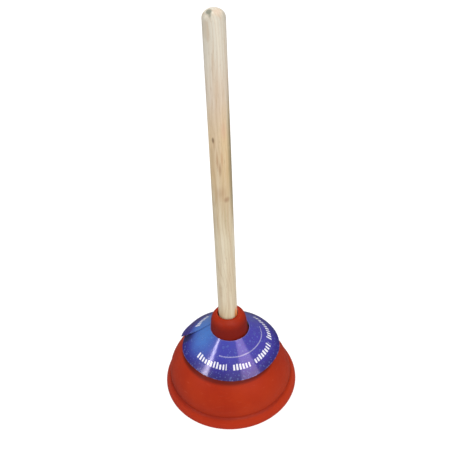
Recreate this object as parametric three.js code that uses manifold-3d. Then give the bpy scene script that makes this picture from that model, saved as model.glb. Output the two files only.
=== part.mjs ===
// Sink plunger: a moulded rubber cup on a wooden handle, with a printed card sleeve on its shoulder.
// Millimetres, +Z up. The origin is the middle of the rim, on the surface that the cup stands on.
// Outlines are drawn as (radius, height) and turned about the Z axis.

import * as THREE from 'three';
import { mergeVertices } from 'three/addons/utils/BufferGeometryUtils.js';
import Module from 'manifold-3d';

const wasm = await Module();
wasm.setup();

// ---- Driving dimensions ----

const clearance = 0.3;

// Rubber cup
const rimRadius = 70;
const rimFlatOuter = 69;
const rimFlatInner = 64.2;
const rimEdgeHeight = 2.4;
const lipControl = new THREE.Vector2(68.1, 9.8);
const lipHeight = 12.6;
const creaseRadius = 64.2;
const lipThickness = 3.6;
const bellControl = new THREE.Vector2(64.9, 31.4);
const shoulderControl = new THREE.Vector2(43.7, 53.9);
const shoulderTop = new THREE.Vector2(30, 64);
const bellInset = new THREE.Vector2(-3.7, -0.8);
const shoulderInset = new THREE.Vector2(-2.4, -3.2);
const collarRootControl = new THREE.Vector2(20.2, 71.2);
const collarFootRadius = 19.1;
const collarFootHeight = 79.5;
const collarNeckRadius = 18;
const collarNeckHeight = 92.5;
const collarNeckControl = new THREE.Vector2(17.6, 96.3);
const collarBevelRadius = 16;
const collarBevelHeight = 98.6;
const collarBrowRadius = 13.8;
const collarBrowHeight = 100.4;
const collarBrowControl = new THREE.Vector2(12.4, 101.5);
const collarFlatRadius = 11;
const collarHeight = 101.5;

// Socket in the collar, and the boss under it
const socketDepth = 39.5;
const floorThickness = 6;
const bossRadius = 15;
const bossRounding = 2;
const bossRootControl = new THREE.Vector2(15.6, 69);

// Wooden handle
const handleRadius = 9.5;
const handleTop = 433;
const handleChamfer = 1;
const pilotDepth = 34;

// Screw and washer under the socket's floor
const screwCoreRadius = 1.6;
const screwThreadRadius = 2.4;
const screwLength = 38;
const screwHeadRadius = 4.8;
const screwHeadHeight = 3.2;
const screwTipLength = 4;
const threadPitch = 2.4;
const threadTurns = 10;
const threadRootWidth = 1.2;
const threadCrestWidth = 0.3;
const threadBite = 0.2;
const recessWidth = 1.1;
const recessReach = 2.3;
const recessDepth = 1.9;
const washerRadius = 11;
const washerThickness = 1.6;
const washerEdge = 0.3;

// Printed card sleeve
const sleeveThickness = 0.5;
const sleeveInnerRadius = 19.7;
const sleeveInnerHeight = 79.6;
const sleeveOuterRadius = 50.8;
const sleeveOuterHeight = 52.3;
const sleeveTiltX = 0.03;
const sleeveTiltY = 0.015;
const sleeveShift = 0.3;
const sleevePress = 4.8;
const sleevePressFrom = 0.1;
const sleevePressTo = 0.78;
const sleeveRise = 1;
const sleeveRiseFrom = 0.75;
const sleeveRiseTo = 0.94;
const sleeveEndAngle = THREE.MathUtils.degToRad(168);
const sleeveOverlap = THREE.MathUtils.degToRad(20);
const sleeveCurl = 1.6;
const sleeveCurlShare = 0.06;
const sleeveTuck = 2.2;
const sleeveTuckShare = 0.15;

// Fineness
const cupSegments = 60;
const handleSegments = 40;
const smallSegments = 24;
const curveSteps = 8;
const sleeveSteps = 84;
const sleeveRows = 3;
const threadStepsPerTurn = 12;

// ---- Heights worked out from them ----

const socketFloor = collarHeight - socketDepth;
const bossFace = socketFloor - floorThickness;
const socketRadius = handleRadius + clearance;
const pilotRadius = screwThreadRadius + clearance;
const handleFoot = socketFloor + clearance;
const washerTop = bossFace - clearance;
const washerFoot = washerTop - washerThickness;
const screwSeat = washerFoot - clearance;

// ---- Materials ----

const rubber = new THREE.MeshStandardMaterial({ color: 0xb03a20, roughness: 0.5, metalness: 0 });
const wood = new THREE.MeshStandardMaterial({ color: 0xd8c4a0, roughness: 0.7, metalness: 0 });
const card = new THREE.MeshStandardMaterial({ color: 0x4448a0, roughness: 0.3, metalness: 0 });
const screwSteel = new THREE.MeshStandardMaterial({ color: 0xc2b280, roughness: 0.35, metalness: 0.9 });
const washerSteel = new THREE.MeshStandardMaterial({ color: 0xb4b6b8, roughness: 0.4, metalness: 0.9 });

// ---- Helpers ----

function turned(outline, segments) {
  const geometry = new THREE.LatheGeometry(outline.getPoints(curveSteps), segments);
  return geometry.rotateX(Math.PI / 2);
}

function toManifold(geometry) {
  const bare = geometry.clone();
  bare.deleteAttribute('normal');
  bare.deleteAttribute('uv');
  const merged = mergeVertices(bare, 1e-4);
  return new wasm.Manifold(new wasm.Mesh({
    numProp: 3,
    vertProperties: Float32Array.from(merged.attributes.position.array),
    triVerts: Uint32Array.from(merged.index.array),
  }));
}

function toGeometry(solid) {
  const mesh = solid.getMesh();
  const geometry = new THREE.BufferGeometry();
  geometry.setAttribute('position', new THREE.BufferAttribute(mesh.vertProperties, 3));
  geometry.setIndex(new THREE.BufferAttribute(mesh.triVerts, 1));
  geometry.computeVertexNormals();
  return geometry;
}

// A long thin block, bent: place(along, up, through) gives the point for shares from 0 to 1.
function bentBlock(steps, rows, place) {
  const geometry = new THREE.BoxGeometry(1, 1, 1, steps, rows, 1);
  const position = geometry.attributes.position;
  for (let i = 0; i < position.count; i += 1) {
    const point = place(position.getX(i) + 0.5, position.getY(i) + 0.5, position.getZ(i) + 0.5);
    position.setXYZ(i, point.x, point.y, point.z);
  }
  geometry.computeVertexNormals();
  return geometry;
}

function named(name, geometry, material) {
  const mesh = new THREE.Mesh(geometry, material);
  mesh.name = name;
  return mesh;
}

// ---- Cup: collar, shoulder, bell wall and lip in one moulding ----

function cupGeometry() {
  const bellInside = bellControl.clone().add(bellInset);
  const shoulderInside = shoulderControl.clone().add(shoulderInset);
  const shoulderTopInside = shoulderTop.clone().add(shoulderInset);
  const wallInnerRadius = creaseRadius - lipThickness;

  const outline = new THREE.Path();
  outline.moveTo(rimFlatInner, 0);
  outline.lineTo(rimFlatOuter, 0);
  outline.quadraticCurveTo(rimRadius, 0, rimRadius, rimEdgeHeight);
  outline.quadraticCurveTo(lipControl.x, lipControl.y, creaseRadius, lipHeight);
  outline.bezierCurveTo(
    bellControl.x,
    bellControl.y,
    shoulderControl.x,
    shoulderControl.y,
    shoulderTop.x,
    shoulderTop.y,
  );
  outline.quadraticCurveTo(collarRootControl.x, collarRootControl.y, collarFootRadius, collarFootHeight);
  outline.lineTo(collarNeckRadius, collarNeckHeight);
  outline.quadraticCurveTo(
    collarNeckControl.x,
    collarNeckControl.y,
    collarBevelRadius,
    collarBevelHeight,
  );
  outline.lineTo(collarBrowRadius, collarBrowHeight);
  outline.quadraticCurveTo(collarBrowControl.x, collarBrowControl.y, collarFlatRadius, collarHeight);
  outline.lineTo(socketRadius + clearance, collarHeight);
  outline.lineTo(socketRadius, collarHeight - 2 * clearance);
  outline.lineTo(socketRadius, socketFloor);
  outline.lineTo(pilotRadius, socketFloor);
  outline.lineTo(pilotRadius, bossFace);
  outline.lineTo(bossRadius - bossRounding, bossFace);
  outline.quadraticCurveTo(bossRadius, bossFace, bossRadius, bossFace + bossRounding);
  outline.quadraticCurveTo(
    bossRootControl.x,
    bossRootControl.y,
    shoulderTopInside.x,
    shoulderTopInside.y,
  );
  outline.bezierCurveTo(
    shoulderInside.x,
    shoulderInside.y,
    bellInside.x,
    bellInside.y,
    wallInnerRadius,
    lipHeight,
  );
  outline.quadraticCurveTo(wallInnerRadius, rimEdgeHeight, rimFlatInner, 0);
  return turned(outline, cupSegments);
}

// ---- Handle: a dowel with a domed top and a blind pilot hole in its foot ----

function handleGeometry() {
  const domeCentre = handleTop - handleRadius;
  const outline = new THREE.Path();
  outline.moveTo(0, handleFoot + pilotDepth);
  outline.lineTo(pilotRadius, handleFoot + pilotDepth - pilotRadius);
  outline.lineTo(pilotRadius, handleFoot);
  outline.lineTo(handleRadius - handleChamfer, handleFoot);
  outline.lineTo(handleRadius, handleFoot + handleChamfer);
  outline.lineTo(handleRadius, domeCentre);
  outline.absarc(0, domeCentre, handleRadius, 0, Math.PI / 2, false);
  return turned(outline, handleSegments);
}

// ---- Card sleeve: a thin sheet wrapped round the cone, pressed closer to the bell at the front ----

function sleeveGeometry() {
  const slope = new THREE.Vector2(
    sleeveOuterRadius - sleeveInnerRadius,
    sleeveInnerHeight - sleeveOuterHeight,
  );
  const width = slope.length();
  const outward = new THREE.Vector2(slope.y, slope.x).normalize();
  const sweep = 2 * Math.PI + sleeveOverlap;
  const first = sleeveEndAngle - sleeveOverlap;

  return bentBlock(sleeveSteps, sleeveRows, (along, up, through) => {
    const across = 1 - up;
    const tucked = 1 - THREE.MathUtils.smoothstep(along, 0, sleeveTuckShare);
    const curled = THREE.MathUtils.smoothstep(along, 1 - sleeveCurlShare, 1);
    const down = across * (1 - tucked * sleeveTuck / width);
    const risen = THREE.MathUtils.smoothstep(along, sleeveRiseFrom, sleeveRiseTo);
    const angle = first + sweep * along;
    const front = THREE.MathUtils.smoothstep(-Math.sin(angle), sleevePressFrom, sleevePressTo);
    const raised = sleeveRise * risen + sleeveCurl * curled * across ** 3;
    const lift = raised - sleevePress * front * across + sleeveThickness * through;
    const radius = sleeveInnerRadius + slope.x * down + outward.x * lift;
    const x = radius * Math.cos(angle);
    const y = radius * Math.sin(angle);
    const level = sleeveInnerHeight - slope.y * down + outward.y * lift;
    const z = level - sleeveTiltX * x - sleeveTiltY * y;
    return new THREE.Vector3(x + sleeveShift, y, z);
  });
}

// ---- Fixing screw: a round-headed wood screw, pointing up, with a crossed recess in its head ----

function screwGeometry() {
  const crown = screwSeat - screwHeadHeight;
  const tip = screwSeat + screwLength;
  const outline = new THREE.Path();
  outline.moveTo(0, crown);
  outline.quadraticCurveTo(screwHeadRadius, crown, screwHeadRadius, screwSeat);
  outline.lineTo(screwCoreRadius, screwSeat);
  outline.lineTo(screwCoreRadius, tip - screwTipLength);
  outline.lineTo(0, tip);
  const core = toManifold(turned(outline, smallSegments));

  const threadTop = tip - screwTipLength;
  const threadFoot = threadTop - threadTurns * threadPitch;
  const root = screwCoreRadius - threadBite;
  const thread = bentBlock(threadTurns * threadStepsPerTurn, 1, (along, up, through) => {
    const radius = THREE.MathUtils.lerp(root, screwThreadRadius, through);
    const thickness = THREE.MathUtils.lerp(threadRootWidth, threadCrestWidth, through);
    const angle = 2 * Math.PI * threadTurns * along;
    const rise = THREE.MathUtils.lerp(threadFoot, threadTop, along);
    return new THREE.Vector3(
      radius * Math.cos(angle),
      radius * Math.sin(angle),
      rise + (up - 0.5) * thickness,
    );
  });

  const bar = new THREE.BoxGeometry(2 * recessReach, recessWidth, 2 * recessDepth);
  bar.translate(0, 0, crown);
  const crossBar = bar.clone().rotateZ(Math.PI / 2);
  return toGeometry(core.add(toManifold(thread)).subtract(toManifold(bar)).subtract(toManifold(crossBar)));
}

// ---- Washer ----

function washerGeometry() {
  const outline = new THREE.Path();
  outline.moveTo(pilotRadius, washerFoot);
  outline.lineTo(washerRadius - washerEdge, washerFoot);
  outline.lineTo(washerRadius, washerFoot + washerEdge);
  outline.lineTo(washerRadius, washerTop - washerEdge);
  outline.lineTo(washerRadius - washerEdge, washerTop);
  outline.lineTo(pilotRadius, washerTop);
  outline.lineTo(pilotRadius, washerFoot);
  return turned(outline, smallSegments);
}

// ---- Assembly ----

const plunger = new THREE.Group();
plunger.add(named('cup', cupGeometry(), rubber));
plunger.add(named('handle', handleGeometry(), wood));
plunger.add(named('label_sleeve', sleeveGeometry(), card));
plunger.add(named('fixing_screw', screwGeometry(), screwSteel));
plunger.add(named('washer', washerGeometry(), washerSteel));

export default plunger;
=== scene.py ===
"""Looks of the sink plunger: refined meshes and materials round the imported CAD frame, in metres.

Profiles, the card's shape and the marks are given in millimetres, and become metres on the way
into a mesh or a material. The floor, the lights, the camera and the pith are in metres.
"""

import math

import bpy
import numpy as np
from mathutils import Matrix, Vector, noise


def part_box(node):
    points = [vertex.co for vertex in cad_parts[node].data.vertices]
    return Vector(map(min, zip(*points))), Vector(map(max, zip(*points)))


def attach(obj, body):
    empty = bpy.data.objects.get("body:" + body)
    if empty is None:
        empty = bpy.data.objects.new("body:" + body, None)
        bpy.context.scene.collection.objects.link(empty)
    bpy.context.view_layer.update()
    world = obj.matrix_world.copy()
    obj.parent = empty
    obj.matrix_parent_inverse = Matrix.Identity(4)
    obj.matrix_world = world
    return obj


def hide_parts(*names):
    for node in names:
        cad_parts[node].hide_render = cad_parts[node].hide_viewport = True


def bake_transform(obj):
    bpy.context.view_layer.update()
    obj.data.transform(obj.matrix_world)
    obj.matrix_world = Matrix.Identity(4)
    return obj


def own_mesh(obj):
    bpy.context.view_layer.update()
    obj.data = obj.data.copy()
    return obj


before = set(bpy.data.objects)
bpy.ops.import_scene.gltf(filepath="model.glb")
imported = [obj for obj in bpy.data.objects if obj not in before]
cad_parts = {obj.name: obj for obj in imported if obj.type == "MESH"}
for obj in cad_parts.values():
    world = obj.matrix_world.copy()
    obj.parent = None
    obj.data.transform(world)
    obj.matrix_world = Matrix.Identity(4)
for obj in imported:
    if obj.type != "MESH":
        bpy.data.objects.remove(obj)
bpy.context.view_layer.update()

MM = 0.001
CUP_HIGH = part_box("cup")[1]
HANDLE_LOW, HANDLE_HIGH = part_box("handle")


# ---- Small helpers ----


def linear(red, green, blue):
    """A display colour from 0 to 255 as a linear one."""
    return tuple(((c / 255 + 0.055) / 1.055) ** 2.4 for c in (red, green, blue)) + (1.0,)


def bezier(points, steps):
    """Points along a Bezier curve, without its first one."""
    found = []
    for i in range(1, steps + 1):
        t = i / steps
        level = [Vector(p) for p in points]
        while len(level) > 1:
            level = [a.lerp(b, t) for a, b in zip(level, level[1:])]
        found.append(tuple(level[0]))
    return found


def smoothstep(value, low, high):
    """0 below low and 1 above high, with a smooth rise between them."""
    t = min(max((value - low) / (high - low), 0.0), 1.0)
    return t * t * (3 - 2 * t)


def add_object(name, data):
    """An object that holds the data, linked into the scene."""
    obj = bpy.data.objects.new(name, data)
    bpy.context.scene.collection.objects.link(obj)
    return obj


def store(mesh, name, vectors):
    """Keeps a vector for each point of the mesh, for its material to read."""
    attribute = mesh.attributes.new(name, "FLOAT_VECTOR", "POINT")
    attribute.data.foreach_set("vector", np.array(vectors, np.float32).ravel())


def smooth(mesh, sharp_degrees):
    """Shades the mesh smooth, apart from edges sharper than the angle."""
    mesh.polygons.foreach_set("use_smooth", [True] * len(mesh.polygons))
    mesh.set_sharp_from_angle(angle=math.radians(sharp_degrees))


def mesh_object(name, verts, faces):
    """A smooth-shaded mesh whose resting places are kept in the attribute "rest"."""
    mesh = bpy.data.meshes.new(name)
    mesh.from_pydata([tuple(v) for v in verts], [], faces)
    mesh.update()
    smooth(mesh, 35)
    store(mesh, "rest", verts)
    return add_object(name, mesh)


def turned(name, profile, segments, shape, closed=False):
    """Turns a profile of (radius, height) in millimetres; shape(x, y, z) moves each point."""
    rows, verts, faces = [], [], []
    for radius, height in profile:
        count = 1 if radius < 1e-6 else segments
        rows.append((len(verts), count))
        for step in range(count):
            angle = 2 * math.pi * step / segments
            x, y, z = shape(radius * math.cos(angle), radius * math.sin(angle), height)
            verts.append((x * MM, y * MM, z * MM))
    pairs = list(zip(rows, rows[1:]))
    if closed:
        pairs.append((rows[-1], rows[0]))
    for (low, low_count), (high, high_count) in pairs:
        for step in range(segments):
            after = (step + 1) % segments
            if low_count == 1:
                faces.append((low, high + after, high + step))
            elif high_count == 1:
                faces.append((low + step, low + after, high))
            else:
                faces.append((low + step, low + after, high + after, high + step))
    return mesh_object(name, verts, faces)


class Shader:
    """A material and short ways to add nodes to it."""

    def __init__(self, name):
        self.material = bpy.data.materials.new(name)
        self.material.use_nodes = True
        self.tree = self.material.node_tree
        self.surface = self.tree.nodes["Principled BSDF"]

    def put(self, socket, value):
        """Links another node's output to the socket, or sets the socket to a plain value."""
        if isinstance(value, bpy.types.NodeSocket):
            self.tree.links.new(value, socket)
        else:
            socket.default_value = value

    def attribute(self, name):
        node = self.tree.nodes.new("ShaderNodeAttribute")
        node.attribute_name = name
        return node.outputs["Vector"]

    def split(self, vector):
        node = self.tree.nodes.new("ShaderNodeSeparateXYZ")
        self.put(node.inputs[0], vector)
        return node.outputs[0], node.outputs[1], node.outputs[2]

    def math(self, operation, *values):
        node = self.tree.nodes.new("ShaderNodeMath")
        node.operation = operation
        for socket, value in zip(node.inputs, values):
            self.put(socket, value)
        return node.outputs[0]

    def times(self, product, *factors):
        """The values multiplied together."""
        for factor in factors:
            product = self.math("MULTIPLY", product, factor)
        return product

    def vector(self, operation, *values):
        node = self.tree.nodes.new("ShaderNodeVectorMath")
        node.operation = operation
        for socket, value in zip(node.inputs, values):
            self.put(socket, value)
        return node.outputs["Value" if operation == "LENGTH" else "Vector"]

    def along_z(self, vector, share):
        """The vector with its height scaled, which stretches a pattern when share is under 1."""
        return self.vector("MULTIPLY", vector, (1.0, 1.0, share))

    def noise(self, vector, scale, detail, roughness):
        node = self.tree.nodes.new("ShaderNodeTexNoise")
        self.put(node.inputs["Vector"], vector)
        node.inputs["Scale"].default_value = scale
        node.inputs["Detail"].default_value = detail
        node.inputs["Roughness"].default_value = roughness
        return node.outputs["Fac"]

    def cells(self, vector, scale):
        """The distance to the nearest cell's middle, and that cell's own colour."""
        node = self.tree.nodes.new("ShaderNodeTexVoronoi")
        self.put(node.inputs["Vector"], vector)
        node.inputs["Scale"].default_value = scale
        return node.outputs["Distance"], node.outputs["Color"]

    def range(self, value, low, high, start=0.0, end=1.0):
        """Start where the value is low and end where it is high, with a smooth change between."""
        node = self.tree.nodes.new("ShaderNodeMapRange")
        node.interpolation_type = "SMOOTHSTEP"
        for socket, number in zip(node.inputs, (value, low, high, start, end)):
            self.put(socket, number)
        return node.outputs[0]

    def range_mm(self, value, low, high):
        """The range of a length in metres between two given in millimetres."""
        return self.range(value, low * MM, high * MM)

    def band(self, value, middle, half, soft):
        """1 within half of the middle, falling to 0 over soft."""
        away = self.math("ABSOLUTE", self.math("SUBTRACT", value, middle))
        return self.range(away, half, half + soft, 1.0, 0.0)

    def ramp(self, value, stops):
        node = self.tree.nodes.new("ShaderNodeValToRGB")
        self.put(node.inputs[0], value)
        elements = node.color_ramp.elements
        while len(elements) < len(stops):
            elements.new(1.0)
        for element, (place, colour) in zip(elements, stops):
            element.position = place
            element.color = colour
        return node.outputs[0]

    def mix(self, factor, a, b):
        node = self.tree.nodes.new("ShaderNodeMix")
        node.data_type = "RGBA"
        self.put(node.inputs[0], factor)
        self.put(node.inputs[6], a)
        self.put(node.inputs[7], b)
        return node.outputs[2]

    def cover(self, under, over, *masks):
        """One colour with another over it, as strongly as the masks' product."""
        return self.mix(self.times(*masks), under, over)

    def spot(self, vector, middle, radii, soft):
        """1 inside an ellipsoid given in millimetres, falling to 0 over the outer part of it."""
        moved = self.vector("SUBTRACT", vector, tuple(c * MM for c in middle))
        scaled = self.vector("DIVIDE", moved, tuple(c * MM for c in radii))
        return self.range(self.vector("LENGTH", scaled), 1 - soft, 1 + soft, 1.0, 0.0)

    def bump(self, height, distance, strength):
        node = self.tree.nodes.new("ShaderNodeBump")
        node.inputs["Distance"].default_value = distance
        node.inputs["Strength"].default_value = strength
        self.put(node.inputs["Height"], height)
        self.put(self.surface.inputs["Normal"], node.outputs[0])

    def set(self, **inputs):
        """Sets the surface's inputs, whose names have underscores in place of spaces."""
        for name, value in inputs.items():
            self.put(self.surface.inputs[name.replace("_", " ")], value)

    def paint(self, obj):
        obj.data.materials.clear()
        obj.data.materials.append(self.material)


# ---- Where the printed card sleeve lies ----

INNER_RADIUS, INNER_HEIGHT = 19.7, 79.6
OUTER_RADIUS, OUTER_HEIGHT = 50.8, 52.3
FALL = Vector((OUTER_RADIUS - INNER_RADIUS, INNER_HEIGHT - OUTER_HEIGHT))
WIDTH = FALL.length
OUTWARD = Vector((FALL.y, FALL.x)).normalized()
CONE = (OUTER_RADIUS - INNER_RADIUS) / math.hypot(
    OUTER_RADIUS - INNER_RADIUS, INNER_HEIGHT - OUTER_HEIGHT
)
TILT_X, TILT_Y = 0.030, 0.015
SLEEVE_SHIFT = 1.2
END_ANGLE = 168
OVERLAP = 20
SHEET = 0.42
CLEARANCE = 0.15
TUCK, TUCK_SHARE = 2.2, 0.15
RISE, RISE_FROM, RISE_TO = 0.5, 0.75, 0.94
CURL, CURL_FROM = 2.0, 0.925
SAG = 0.55
# Waves round the card: their height, how many there are, and where they start in radians.
WAVES = [(0.30, 2, 0.9), (0.18, 3, 2.1)]
OUTER_WAVE = (0.10, 7, 0.4)
PRESS, PRESS_FROM, PRESS_TO = 5.0, 0.1, 0.78
PRESS_IN, PRESS_DOWN = 0.76, 0.65
FRONT_TURN = 338
SLEEVE_STEPS = 460
SLEEVE_ROWS = 30


# ---- Cup ----

RIM_RADIUS = 68.6
LIP_HEIGHT = 12.6
SHOULDER = (30, 64)
COLLAR_FOOT = (19.1, 79.5)
COLLAR_EDGE = (18.3, 90)
COLLAR_TOP = CUP_HIGH.z / MM
SOCKET = 9.8
SOCKET_FLOOR = COLLAR_TOP - 39.5
PILOT = 2.7
BOSS = 15
BOSS_FACE = SOCKET_FLOOR - 6
GAPE, GAPE_DEPTH, GAPE_RADIUS = 0.9, 1.5, 12
CUP_SEGMENTS = 208
# Each pair is where a change in the cup's shape or colour starts and where it is complete.
LEAN, LEAN_TOP, LEAN_RADIUS = 2.26, 46, 22
LEAN_STARTS, LEAN_FADES = (8, 22), (LEAN_TOP, 74)
COLLAR_SHIFT, SHIFT_RADII, SHIFT_HEIGHTS = 0.4, (10, 13), (64, 78)
UNEVEN, UNEVEN_SCALE, UNEVEN_RADIUS = 0.35, 0.035, 20
UNEVEN_STARTS, UNEVEN_FADES = (4, 18), (60, 76)
LIP_PALES = (11.5, 7)
# CARD_EDGE and CARD_TOP bound the painted shadow under the card.
CARD_EDGE, CARD_TOP = (44.2, 47.4), (80, 72)
# COLLAR_DARKENS and COLLAR_PALES bound the painted shade on the collar's side.
COLLAR_DARKENS, COLLAR_PALES = (70, 78), (105, 90)
RING_PITCH = 3.1


def cup_profile():
    """From under the rim, up the outside, down into the socket, and down the inside."""
    rows = [(66.6, 0.0), (RIM_RADIUS, 0.0)]
    rows += bezier([(RIM_RADIUS, 0), (69.9, 0.05), (70, 1.8)], 6)
    rows += bezier([(70, 1.8), (69.9, 5.2), (67.6, 8.9)], 9)
    rows += bezier([(67.6, 8.9), (66.5, 11.0), (64.9, 12.05)], 6)
    rows += bezier([(64.9, 12.05), (64.05, 12.5), (64.15, 13.9)], 6)
    rows += bezier([(64.15, 13.9), (64.8, 31.6), (43.7, 53.9), SHOULDER], 44)
    rows += bezier([SHOULDER, (20.2, 71.2), COLLAR_FOOT], 14)
    rows += [(18.95, 82), (18.65, 86), COLLAR_EDGE]
    rows += bezier([COLLAR_EDGE, (17.75, 94.6), (16.2, 97.0)], 8)
    rows += bezier([(16.2, 97.0), (15.1, 98.7), (13.2, 100.0)], 6)
    rows += bezier([(13.2, 100.0), (11.7, COLLAR_TOP), (10.9, COLLAR_TOP)], 6)
    mouth = (SOCKET, COLLAR_TOP - 0.6)
    rows += bezier([(10.9, COLLAR_TOP), (SOCKET, COLLAR_TOP), mouth], 4)
    rows += [(SOCKET, COLLAR_TOP - 12), (SOCKET, SOCKET_FLOOR + 0.4)]
    rows += [(SOCKET - 0.4, SOCKET_FLOOR), (6, SOCKET_FLOOR), (PILOT, SOCKET_FLOOR)]
    rows += [(PILOT, BOSS_FACE), (8, BOSS_FACE)]
    boss_side = (BOSS, BOSS_FACE + 2.2)
    rows += bezier([(12.6, BOSS_FACE), (BOSS, BOSS_FACE), boss_side], 6)
    rows += bezier([boss_side, (15.6, 69), (27.6, 60.8)], 14)
    rows += bezier([(27.6, 60.8), (41.3, 50.7), (61.2, 30.6), (60.6, LIP_HEIGHT)], 40)
    rows += bezier([(60.6, LIP_HEIGHT), (60.6, 2.4), (64.2, 0.25)], 10)
    rows += [(64.6, 0.05), (65.2, 0.0)]
    return rows


def cup_shape(x, y, z):
    """The wall leans to -X, the collar is off centre and gapes, and the rubber is uneven."""
    radius = math.hypot(x, y)
    if z > COLLAR_TOP - GAPE_DEPTH and radius < GAPE_RADIUS:
        x -= GAPE * max(0.0, -x / radius) ** 2
    if radius > LEAN_RADIUS:
        wall = smoothstep(z, *LEAN_STARTS) * (1 - smoothstep(z, *LEAN_FADES))
        x -= LEAN * min(z, LEAN_TOP) / LEAN_TOP * wall
    if z > SOCKET_FLOOR + 2:
        x += COLLAR_SHIFT * smoothstep(radius, *SHIFT_RADII) * smoothstep(z, *SHIFT_HEIGHTS)
    soft = noise.noise(Vector((x, y, z)) * UNEVEN_SCALE) * UNEVEN
    soft *= smoothstep(z, *UNEVEN_STARTS)
    soft *= 1 - smoothstep(z, *UNEVEN_FADES)
    scale = 1 + soft / max(radius, UNEVEN_RADIUS)
    return x * scale, y * scale, z


def rubber(s):
    """Red rubber, scuffed, with painted shade in the crease above the lip and round the collar,
    and a painted shadow under the card.
    """
    rest = s.attribute("rest")
    x, _, z = s.split(rest)
    cloud = s.noise(rest, 22, 4, 0.55)
    fine = s.noise(rest, 420, 5, 0.65)
    red = s.ramp(cloud, [(0.3, linear(160, 36, 5)), (0.72, linear(178, 50, 8))])
    scuffs = s.range(s.noise(s.along_z(rest, 5.0), 95, 4, 0.6), 0.60, 0.78)
    red = s.cover(red, linear(206, 104, 78), scuffs, 0.22)
    red = s.cover(red, linear(188, 50, 16), s.range_mm(z, *LIP_PALES), 0.5)
    # Painted shade: the crease between the lip and the wall is darkened where shade falls.
    crease_painted_shade = s.band(z, LIP_HEIGHT * MM, 0.3 * MM, 2.2 * MM)
    red = s.cover(red, linear(118, 20, 6), crease_painted_shade, 0.38)
    # Painted shadow: the outside of the rubber is darkened from just below the card's edge up
    # under the card.
    outside = s.split(s.attribute("outside"))[0]
    above_edge = s.range_mm(s.math("MULTIPLY_ADD", x, TILT_X, z), *CARD_EDGE)
    card_painted_shadow = s.times(above_edge, s.range_mm(z, *CARD_TOP), outside)
    red = s.cover(red, linear(90, 14, 4), card_painted_shadow, 0.8)
    # Painted shade: the collar's side is darkened from 70 to 90 mm up, fading out towards its top.
    collar = s.times(s.range_mm(z, *COLLAR_DARKENS), s.range_mm(z, *COLLAR_PALES))
    red = s.cover(red, linear(120, 20, 6), collar, 0.88)
    s.set(Base_Color=red, Roughness=s.range(fine, 0.3, 0.7, 0.42, 0.56))
    s.set(Specular_IOR_Level=0.14)
    rings = s.math("SINE", s.times(z, 2 * math.pi / (RING_PITCH * MM)))
    relief = s.math("ADD", s.times(fine, 0.6), s.times(rings, 0.05))
    relief = s.math("ADD", relief, s.times(cloud, 1.5))
    s.bump(relief, 0.25 * MM, 0.5)


def make_cup():
    profile = cup_profile()
    cup = turned("bell_cup", profile, CUP_SEGMENTS, cup_shape, closed=True)
    top = max(range(len(profile)), key=lambda row: profile[row][1])
    sides = [(float(row <= top), 0, 0) for row in range(len(profile))]
    store(cup.data, "outside", [side for side in sides for _ in range(CUP_SEGMENTS)])
    s = Shader("rubber_moulded")
    rubber(s)
    s.paint(cup)
    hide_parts("cup")
    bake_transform(cup)


# ---- Handle ----

HANDLE_RADIUS = HANDLE_HIGH.x / MM
HANDLE_FOOT = HANDLE_LOW.z / MM
HANDLE_TOP = HANDLE_HIGH.z / MM
FOOT_ROUND = 1
PILOT_TIP, PILOT_DEPTH, PILOT_EASE = 34, 31.3, 0.3
DOME, DOME_POWER = 7.4, 0.84
HANDLE_SEGMENTS = 112
HANDLE_STEPS = 190
DOME_STEPS = 14
SANDED, SANDED_DEPTH = 0.12, 2
SANDED_ACROSS, SANDED_ALONG = 0.11, 0.012
# The wood's colour up the handle, from WOOD_LOW at 0 to the handle's top at 1.
WOOD_LOW = 95
WOOD_STOPS = [
    (0.00, (214, 197, 163)),
    (0.10, (222, 210, 184)),
    (0.32, (216, 205, 178)),
    (0.46, (206, 189, 157)),
    (0.55, (212, 188, 149)),
    (0.68, (224, 200, 162)),
    (0.78, (216, 202, 184)),
    (0.90, (212, 205, 190)),
    (1.00, (207, 202, 188)),
]
PITH = (-0.026, -0.021, 0.0)
GROWTH_PITCH, GROWTH_WANDER = 2.6, 16
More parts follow.
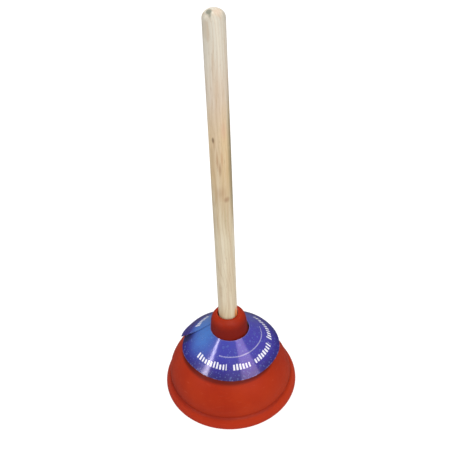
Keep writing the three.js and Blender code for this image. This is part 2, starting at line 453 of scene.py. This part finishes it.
# Each mark's middle, its radii, how soft it is from 0 to 1, how strong it is, and its colour.
MARKS = [
    ((-2.2, -9.0, 308), (4.6, 5, 34), 0.7, 0.30, (196, 186, 168)),
    ((4.5, -8.6, 302), (4.2, 5, 40), 0.7, 0.42, (204, 172, 124)),
    # Painted shade: a dark grey stripe down the handle's right side.
    ((9.8, -2.6, 300), (3.4, 6, 62), 0.6, 0.85, (132, 122, 90)),
    ((3.6, -8.4, 327), (1.8, 4, 8), 0.7, 0.40, (204, 160, 138)),
    ((-5.6, -7.7, 317.5), (0.9, 2.5, 2.6), 0.6, 0.85, (112, 88, 62)),
    ((-5.0, -8.0, 313.5), (0.8, 2.5, 5.5), 0.8, 0.35, (168, 130, 92)),
    ((-2.9, -9.0, 297), (0.7, 3, 7.5), 0.8, 0.62, (170, 122, 84)),
    ((1.2, -9.3, 299), (0.7, 3, 7.0), 0.8, 0.50, (184, 132, 96)),
    ((-0.9, -9.4, 288), (1.0, 3, 6.0), 0.8, 0.55, (160, 120, 84)),
    ((3.8, -8.5, 254), (2.2, 4, 2.6), 0.8, 0.55, (150, 104, 74)),
    ((-0.6, -9.4, 262), (3.4, 4, 6.0), 0.8, 0.35, (170, 128, 96)),
    ((-4.5, -8.2, 258), (1.3, 4, 9.0), 0.8, 0.30, (170, 138, 104)),
    ((2.0, -9.2, 232), (0.8, 4, 16.0), 0.8, 0.28, (170, 150, 104)),
    # Painted shade: grey on the handle's right side.
    ((9.2, -1.5, 250), (2.4, 6, 26.0), 0.7, 0.34, (160, 142, 108)),
    # A chipped sliver at the foot, with the red collar's bounce light painted on it in orange.
    ((8.3, -4.6, 104), (2.2, 2.8, 8.5), 0.30, 1.0, (236, 148, 76)),
    ((7.3, -6.0, 104), (0.4, 1.4, 6.0), 0.6, 0.7, (146, 96, 56)),
    ((-7.2, -6.0, 103), (2.2, 4, 7.0), 0.8, 0.35, (170, 130, 84)),
    ((-3.6, -2.6, 432.4), (2.4, 3.0, 2.6), 0.40, 0.85, (108, 112, 98)),
    ((-2.8, -5.6, 430.2), (1.2, 2.0, 2.6), 0.50, 0.70, (118, 120, 104)),
    ((3.4, -3.0, 432.5), (3.0, 4.0, 2.6), 0.7, 0.35, (214, 178, 150)),
    # Painted shade: grey on the right side under the dome.
    ((8.4, -1.0, 428.5), (2.0, 4.5, 4.0), 0.8, 0.35, (160, 156, 144)),
    ((5.0, 8.0, 372), (1.4, 3, 3.2), 0.6, 0.70, (120, 90, 62)),
    ((-3.0, 9.0, 212), (3.0, 3, 22.0), 0.8, 0.40, (188, 146, 104)),
]


def handle_profile():
    """Down the pilot hole, round the foot, up the side, and over the dome."""
    rows = [(0.0, HANDLE_FOOT + PILOT_TIP), (PILOT, HANDLE_FOOT + PILOT_DEPTH)]
    rows += [(PILOT, HANDLE_FOOT + PILOT_EASE), (PILOT + PILOT_EASE, HANDLE_FOOT)]
    flat_edge = (HANDLE_RADIUS - FOOT_ROUND, HANDLE_FOOT)
    rows.append(flat_edge)
    side_foot = (HANDLE_RADIUS, HANDLE_FOOT + FOOT_ROUND)
    rows += bezier([flat_edge, (HANDLE_RADIUS, HANDLE_FOOT), side_foot], 4)
    shoulder = HANDLE_TOP - DOME
    side = shoulder - HANDLE_FOOT - FOOT_ROUND
    for i in range(1, HANDLE_STEPS + 1):
        rows.append((HANDLE_RADIUS, HANDLE_FOOT + FOOT_ROUND + side * i / HANDLE_STEPS))
    for i in range(1, DOME_STEPS + 1):
        angle = math.pi / 2 * i / DOME_STEPS
        radius = max(HANDLE_RADIUS * math.cos(angle) ** DOME_POWER, 0)
        rows.append((radius, shoulder + DOME * math.sin(angle)))
    rows[-1] = (0.0, HANDLE_TOP)
    return rows


def handle_shape(x, y, z):
    """Sanding leaves the dowel a hair out of true, always inside its nominal size."""
    if math.hypot(x, y) < HANDLE_RADIUS - SANDED_DEPTH:
        return x, y, z
    place = Vector((x * SANDED_ACROSS, y * SANDED_ACROSS, z * SANDED_ALONG))
    scale = 1 - max(0.5 + noise.noise(place), 0) * SANDED / HANDLE_RADIUS
    return x * scale, y * scale, z


def wood_grain(s):
    """Pale dowel wood, with streaks and growth rings along it, marks, and open pores; some marks
    are painted shade on its right side and painted red bounce light at its foot.
    """
    rest = s.attribute("rest")
    z = s.split(rest)[2]
    height = s.range_mm(z, WOOD_LOW, HANDLE_TOP)
    height.node.interpolation_type = "LINEAR"
    drift = s.noise(s.along_z(rest, 0.25), 60, 3, 0.5)
    along = s.math("ADD", height, s.times(s.math("SUBTRACT", drift, 0.5), 0.12))
    wood = s.ramp(along, [(place, linear(*colour)) for place, colour in WOOD_STOPS])
    stretched = s.along_z(rest, 0.045)
    wide = s.noise(stretched, 260, 4, 0.6)
    streaks = s.noise(stretched, 900, 5, 0.7)
    wood = s.cover(wood, linear(190, 158, 120), s.range(wide, 0.42, 0.72), 0.42)
    wood = s.cover(wood, linear(232, 222, 202), s.range(wide, 0.5, 0.28), 0.40)
    wood = s.cover(wood, linear(166, 134, 96), s.range(streaks, 0.55, 0.75), 0.38)
    from_pith = s.vector("LENGTH", s.vector("SUBTRACT", s.along_z(rest, 0.0), PITH))
    wander = s.times(s.noise(s.along_z(rest, 0.30), 34, 2, 0.5), GROWTH_WANDER * MM)
    ring = s.math("ADD", from_pith, wander)
    ring = s.math("SINE", s.times(ring, 2 * math.pi / (GROWTH_PITCH * MM)))
    wood = s.cover(wood, linear(176, 140, 98), s.range(ring, 0.35, 1.0), 0.20)
    uneven = s.noise(s.along_z(rest, 0.25), 420, 3, 0.6)
    for middle, radii, soft, strength, colour in MARKS:
        patchy = s.range(uneven, 0.15, 0.55, strength * 0.55, strength)
        wood = s.cover(wood, linear(*colour), s.spot(rest, middle, radii, soft), patchy)
    pores = s.range(s.noise(s.along_z(rest, 0.08), 2300, 2, 0.5), 0.62, 0.74)
    wood = s.cover(wood, linear(140, 110, 78), pores, 0.35)
    s.set(Base_Color=wood, Roughness=s.range(streaks, 0.3, 0.7, 0.54, 0.72))
    s.set(Specular_IOR_Level=0.32)
    relief = s.math("ADD", s.times(streaks, 0.7), s.times(ring, 0.08))
    relief = s.math("SUBTRACT", relief, s.times(pores, 0.5))
    s.bump(relief, 0.22 * MM, 0.55)


def make_handle():
    handle = turned("dowel_handle", handle_profile(), HANDLE_SEGMENTS, handle_shape)
    s = Shader("wood_dowel")
    wood_grain(s)
    s.paint(handle)
    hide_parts("handle")
    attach(handle, "handle")


# ---- Printed card sleeve ----

# Each row of bars: where it starts and ends in degrees round the card, its middle and half
# its height as shares of the card's width, its pitch in degrees, how much of the pitch a bar
# fills, and its strength.
BARS = [
    (209.5, 261.9, 0.655, 0.080, 5.0, 0.56, 0.92),
    (271, 300.5, 0.655, 0.080, 5.0, 0.56, 0.92),
    (308, 349.3, 0.655, 0.080, 5.0, 0.56, 0.92),
    (356, 409.1, 0.655, 0.080, 5.0, 0.56, 0.92),
    (246, 378, 0.405, 0.013, 2.0, 0.66, 0.5),
    (486, 516.5, 0.55, 0.085, 5.0, 0.62, 0.95),
]
# Each size of bubble: how many to a metre, the share of places left empty, and its strength.
BUBBLES = [(170, 0.40, 0.26), (300, 0.25, 0.34), (520, 0.2, 0.48)]


def wave_at(angle, height, count, start):
    return height * math.sin(count * angle + start)


def sleeve_point(turn, along, across, through):
    """A point of the wrapped sheet: along it, from its inner edge outwards, and through it."""
    angle = math.radians(turn)
    tucked = 1 - smoothstep(along, 0, TUCK_SHARE)
    risen = smoothstep(along, RISE_FROM, RISE_TO)
    curled = smoothstep(along, CURL_FROM, 1)
    down = across * (1 - tucked * TUCK / WIDTH)
    wave = sum(wave_at(angle, *wave) for wave in WAVES) + wave_at(angle, *OUTER_WAVE) * across
    sag = SAG * math.sin(math.pi * across)
    lift = CLEARANCE + risen * (RISE + RISE * across) + CURL * curled * across**3
    lift += SHEET * through
    lift += wave * across - sag
    press = PRESS * across * smoothstep(-math.sin(angle), PRESS_FROM, PRESS_TO)
    radius = INNER_RADIUS + FALL.x * down + OUTWARD.x * lift - PRESS_IN * press
    x, y = radius * math.cos(angle), radius * math.sin(angle)
    z = INNER_HEIGHT - FALL.y * down + OUTWARD.y * lift - PRESS_DOWN * press
    z = z - TILT_X * x - TILT_Y * y
    return Vector((x + SLEEVE_SHIFT, y, z)) * MM


def sleeve_faces():
    """The two sides of the sheet, and the four edges that join them."""
    row = SLEEVE_ROWS + 1
    layer_size = (SLEEVE_STEPS + 1) * row
    last, end = SLEEVE_ROWS, SLEEVE_STEPS
    faces = []

    def at(i, j, layer):
        return layer * layer_size + i * row + j

    for i in range(SLEEVE_STEPS):
        for j in range(SLEEVE_ROWS):
            faces.append((at(i, j, 1), at(i, j + 1, 1), at(i + 1, j + 1, 1), at(i + 1, j, 1)))
            faces.append((at(i, j, 0), at(i + 1, j, 0), at(i + 1, j + 1, 0), at(i, j + 1, 0)))
        faces.append((at(i, last, 1), at(i, last, 0), at(i + 1, last, 0), at(i + 1, last, 1)))
        faces.append((at(i, 0, 1), at(i + 1, 0, 1), at(i + 1, 0, 0), at(i, 0, 0)))
    for j in range(SLEEVE_ROWS):
        faces.append((at(0, j, 1), at(0, j, 0), at(0, j + 1, 0), at(0, j + 1, 1)))
        faces.append((at(end, j, 1), at(end, j + 1, 1), at(end, j + 1, 0), at(end, j, 0)))
    return faces


def bars(s, place, under, colour, row):
    """A row of plain rounded bars round the card, each of its own height and width."""
    turn, share, side = place
    first, last, middle, half_height, pitch, fill, strength = row
    count = s.math("DIVIDE", s.math("SUBTRACT", turn, first), pitch)
    own = s.tree.nodes.new("ShaderNodeTexWhiteNoise")
    own.noise_dimensions = "1D"
    s.put(own.inputs["W"], s.math("ADD", s.math("FLOOR", count), first))
    one, two, _ = s.split(own.outputs["Color"])
    width = s.math("MULTIPLY_ADD", one, 0.16, fill - 0.08)
    off_middle = s.math("ABSOLUTE", s.math("SUBTRACT", s.math("FRACT", count), 0.5))
    tall = s.times(s.math("MULTIPLY_ADD", two, 0.35, 0.65), half_height)
    lowered = s.math("SUBTRACT", middle + half_height, tall)
    up = s.math("ABSOLUTE", s.math("SUBTRACT", share, lowered))
    within_width = s.range(s.math("SUBTRACT", off_middle, s.times(width, 0.5)), -0.04, 0.04, 1, 0)
    within_height = s.range(s.math("SUBTRACT", up, tall), -0.008, 0.012, 1, 0)
    within_row = s.band(turn, (first + last) / 2, (last - first) / 2 - 0.1, 0.2)
    inside = s.times(within_width, within_height, within_row)
    return s.cover(under, colour, inside, s.times(side, strength))


def bubbles(s, flat, under, density, empty, strength):
    """Water bubbles with a pale middle and a dark ring, each of its own size."""
    away, tint = s.cells(flat, density)
    seen, size, _ = s.split(tint)
    edge = s.math("SUBTRACT", away, s.math("MULTIPLY_ADD", size, 0.20, 0.14))
    ring = s.band(edge, 0.0, 0.02, 0.07)
    core = s.range(edge, 0.02, -0.08)
    shown = s.range(seen, empty, empty + 0.03)
    under = s.cover(under, linear(122, 156, 226), core, shown, strength * 0.6)
    return s.cover(under, linear(28, 30, 104), ring, shown, strength * 0.7)


def printed_card(s):
    """Glossy card, printed on its outer side with a blue ground, bubbles and plain bars, with a
    painted shadow under the curled end.

    Turn is in degrees round the card, share runs from its inner edge to its outer one, and
    side is 0 on the reverse and 1 on the print.
    """
    flat = s.attribute("flat")
    turn, share, side = s.split(s.attribute("print"))
    cloud = s.noise(flat, 42, 3, 0.5)
    shade = s.math("ADD", share, s.times(s.math("SUBTRACT", cloud, 0.5), 0.35))
    blue = s.ramp(shade, [
        (0.00, linear(58, 62, 172)),
        (0.45, linear(52, 52, 166)),
        (0.72, linear(38, 26, 142)),
        (1.00, linear(24, 8, 108)),
    ])
    left_sky = s.times(s.band(turn, 186, 8, 52), s.range(shade, 0.95, 0.25))
    blue = s.cover(blue, linear(66, 118, 196), left_sky, 0.95)
    flap_sky = s.times(s.band(turn, 512, 18, 40), s.range(shade, 0.85, 0.4))
    blue = s.cover(blue, linear(70, 120, 198), flap_sky, 0.95)
    flap_edge = s.times(s.band(turn, 500, 26, 30), s.range(share, 0.66, 0.84))
    blue = s.cover(blue, linear(44, 28, 112), flap_edge, 0.8)
    violet = s.times(s.band(turn, 345, 20, 50), s.range(share, 1.1, 0.5))
    blue = s.cover(blue, linear(74, 62, 160), violet, 0.5)
    for density, empty, strength in BUBBLES:
        blue = bubbles(s, flat, blue, density, empty, strength)
    for row in BARS:
        blue = bars(s, (turn, share, side), blue, linear(244, 244, 252), row)
    # Painted shadow: a dark navy wedge under the curled end's outer corner.
    wedge_painted_shadow = s.times(s.band(turn, 171, 4, 6), s.range(share, 0.5, 0.85))
    blue = s.cover(blue, linear(16, 13, 62), wedge_painted_shadow, 0.85)
    worn = s.noise(flat, 300, 4, 0.6)
    outer_wear = s.times(s.range(share, 0.975, 1.0), s.range(worn, 0.45, 0.7))
    rubbed = s.math("MAXIMUM", outer_wear, s.times(s.range(share, 0.03, 0.0), 0.5))
    blue = s.cover(blue, linear(150, 146, 196), rubbed, 0.55)
    colour = s.mix(s.range(side, 0.02, 0.25), linear(206, 204, 200), blue)
    s.set(Base_Color=colour, Roughness=s.range(side, 0.02, 0.25, 0.7, 0.34))
    s.set(Specular_IOR_Level=0.2, Coat_Weight=0.85, Coat_Roughness=0.14)
    relief = s.math("ADD", s.noise(flat, 130, 2, 0.5), s.times(worn, 0.12))
    s.bump(relief, 0.18 * MM, 0.35)


def make_sleeve():
    verts, flats, prints = [], [], []
    for layer in (0, 1):
        for i in range(SLEEVE_STEPS + 1):
            along = i / SLEEVE_STEPS
            turn = END_ANGLE - OVERLAP + (360 + OVERLAP) * along
            flat = math.radians(turn - FRONT_TURN) * CONE
            for j in range(SLEEVE_ROWS + 1):
                across = j / SLEEVE_ROWS
                slant = (INNER_RADIUS / CONE + WIDTH * across) * MM
                verts.append(sleeve_point(turn, along, across, layer))
                flats.append((slant * math.cos(flat), slant * math.sin(flat), 0))
                prints.append((turn, across, layer))
    sleeve = mesh_object("card_sleeve", verts, sleeve_faces())
    store(sleeve.data, "flat", flats)
    store(sleeve.data, "print", prints)
    s = Shader("card_printed")
    printed_card(s)
    s.paint(sleeve)
    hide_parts("label_sleeve")
    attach(sleeve, "label")
    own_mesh(sleeve)


# ---- Screw and washer ----

WELD = 0.02
BEVEL_SEGMENTS, BEVEL_ANGLE = 3, 35
SCREW_BEVEL, WASHER_BEVEL = 0.08, 0.12


def eased(node, name, bevel):
    """A copy of a CAD node's mesh with its sharp edges eased."""
    obj = add_object(name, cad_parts[node].data.copy())
    weld = obj.modifiers.new("weld", "WELD")
    weld.merge_threshold = WELD * MM
    rounding = obj.modifiers.new("rounding", "BEVEL")
    rounding.width = bevel * MM
    rounding.segments = BEVEL_SEGMENTS
    rounding.limit_method = "ANGLE"
    rounding.angle_limit = math.radians(BEVEL_ANGLE)
    depsgraph = bpy.context.evaluated_depsgraph_get()
    mesh = bpy.data.meshes.new_from_object(obj.evaluated_get(depsgraph))
    obj.modifiers.clear()
    obj.data = mesh
    mesh.name = name
    smooth(mesh, 40)
    store(mesh, "rest", [tuple(v.co) for v in mesh.vertices])
    return obj


def metal(name, bright, dull, tarnish, brushed):
    """Metal with fine lines, closest along the axis with the largest number in brushed."""
    s = Shader(name)
    rest = s.attribute("rest")
    cloud = s.noise(rest, 260, 4, 0.6)
    lines = s.noise(s.vector("MULTIPLY", rest, brushed), 900, 4, 0.6)
    colour = s.mix(s.range(cloud, 0.45, 0.75), linear(*bright), linear(*dull))
    colour = s.cover(colour, linear(94, 76, 52), s.range(lines, 0.6, 0.8), tarnish)
    s.set(Base_Color=colour, Metallic=0.95, Roughness=s.range(lines, 0.3, 0.7, 0.24, 0.46))
    s.bump(lines, 0.03 * MM, 0.5)
    return s


def make_fixings():
    brass = metal("screw_brass", (206, 184, 112), (172, 148, 92), 0.5, (1.0, 1.0, 6.0))
    screw = eased("fixing_screw", "wood_screw", SCREW_BEVEL)
    brass.paint(screw)
    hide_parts("fixing_screw")
    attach(screw, "handle")
    zinc = metal("washer_zinc", (196, 198, 200), (158, 160, 164), 0.35, (6.0, 0.6, 1.0))
    washer = eased("washer", "flat_washer", WASHER_BEVEL)
    zinc.paint(washer)
    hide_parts("washer")
    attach(washer, "handle")


# ---- Floor, lights and camera ----

STAGE_REACH = 6.0
FLOOR_HEIGHT = -0.2 * MM
WALL_HEIGHT = 5.0
WALL_SIDES = 96
LIGHTS_AIM = Vector((0, 0, 0.06))
SKY_LOW, SKY_HIGH, SKY_TOP = 0.16, 0.78, 0.85
SENSOR_WIDTH, LENS, CLIP_END = 36, 67.186, 50
EYE = (0, -0.59320, 0.72011)
PITCH, YAW, ROLL = 0.702969, 0.0019863, 0.0473199


def grey(level):
    return (level, level, level, 1.0)


def make_stage():
    """A white floor, and behind it a wall that only the camera sees, for low views."""
    s = Shader("floor_white")
    s.set(Base_Color=grey(0.26), Roughness=0.9, Specular_IOR_Level=0.1)
    s.set(Emission_Color=grey(1.0), Emission_Strength=0.86)

    reach = STAGE_REACH
    corners = [(-reach, -reach), (reach, -reach), (reach, reach), (-reach, reach)]
    mesh = bpy.data.meshes.new("studio_floor")
    mesh.from_pydata([(x, y, FLOOR_HEIGHT) for x, y in corners], [], [(0, 1, 2, 3)])
    floor = add_object("studio_floor", mesh)
    s.paint(floor)
    floor.visible_glossy = False

    angles = [2 * math.pi * i / WALL_SIDES for i in range(WALL_SIDES)]
    ring = [(reach * math.cos(angle), reach * math.sin(angle)) for angle in angles]
    verts = [(x, y, z) for z in (FLOOR_HEIGHT, WALL_HEIGHT) for x, y in ring]
    faces = []
    for i in range(WALL_SIDES):
        after = (i + 1) % WALL_SIDES
        faces.append((i, after, WALL_SIDES + after, WALL_SIDES + i))
    mesh = bpy.data.meshes.new("studio_wall")
    mesh.from_pydata(verts, [], faces)
    wall = add_object("studio_wall", mesh)
    s.paint(wall)
    wall.visible_glossy = wall.visible_diffuse = wall.visible_shadow = False


def light(name, azimuth, elevation, distance, size, watts, colour):
    """An area light that shines on the cup from that direction."""
    lamp = bpy.data.lights.new(name, "AREA")
    lamp.shape = "RECTANGLE"
    lamp.size, lamp.size_y = size
    lamp.energy = watts
    lamp.color = colour
    obj = add_object(name, lamp)
    a, e = math.radians(azimuth), math.radians(elevation)
    away = Vector((math.cos(a) * math.cos(e), math.sin(a) * math.cos(e), math.sin(e)))
    obj.location = LIGHTS_AIM + away * distance
    obj.rotation_euler = away.to_track_quat("Z", "Y").to_euler()
    return obj


def make_lights():
    """A key light, a light from behind, two that only reflect, and a sky that pales upwards."""
    world = bpy.data.worlds.new("studio")
    bpy.context.scene.world = world
    world.use_nodes = True
    tree = world.node_tree
    back = tree.nodes["Background"]
    back.inputs["Strength"].default_value = 1.0
    place = tree.nodes.new("ShaderNodeTexCoord")
    split = tree.nodes.new("ShaderNodeSeparateXYZ")
    sky = tree.nodes.new("ShaderNodeValToRGB")
    tree.links.new(place.outputs["Generated"], split.inputs[0])
    tree.links.new(split.outputs["Z"], sky.inputs[0])
    tree.links.new(sky.outputs[0], back.inputs["Color"])
    low, high = sky.color_ramp.elements
    low.position, high.position = 0.0, SKY_TOP
    low.color, high.color = grey(SKY_LOW), grey(SKY_HIGH)
    light("key_front", -76, 52, 1.6, (0.8, 0.5), 10.5, (1.0, 0.96, 0.92))
    strip = light("strip_left", -149, 28, 1.5, (0.22, 0.36), 4.2, (0.96, 0.86, 1.0))
    sheen = light("sheen_front", -44, 28, 1.6, (0.9, 0.4), 4.8, (1.0, 0.70, 1.0))
    strip.visible_diffuse = sheen.visible_diffuse = False
    light("top_back", 100, 64, 1.8, (0.6, 0.6), 10, (1.0, 1.0, 1.0))


def make_camera():
    data = bpy.data.cameras.new("camera")
    data.sensor_width = SENSOR_WIDTH
    data.lens = LENS
    data.clip_end = CLIP_END
    camera = add_object("camera", data)
    flat = math.cos(PITCH)
    forward = Vector((math.sin(YAW) * flat, math.cos(YAW) * flat, -math.sin(PITCH)))
    level = forward.cross(Vector((0, 0, 1))).normalized()
    down = forward.cross(level)
    right = math.cos(ROLL) * level + math.sin(ROLL) * down
    up = math.sin(ROLL) * level - math.cos(ROLL) * down
    turn = Matrix((right, up, -forward)).transposed()
    camera.matrix_world = Matrix.Translation(EYE) @ turn.to_4x4()
    bpy.context.scene.camera = camera


make_cup()
make_handle()
make_sleeve()
make_fixings()
make_stage()
make_lights()
make_camera()
bpy.context.scene.view_settings.view_transform = "Standard"
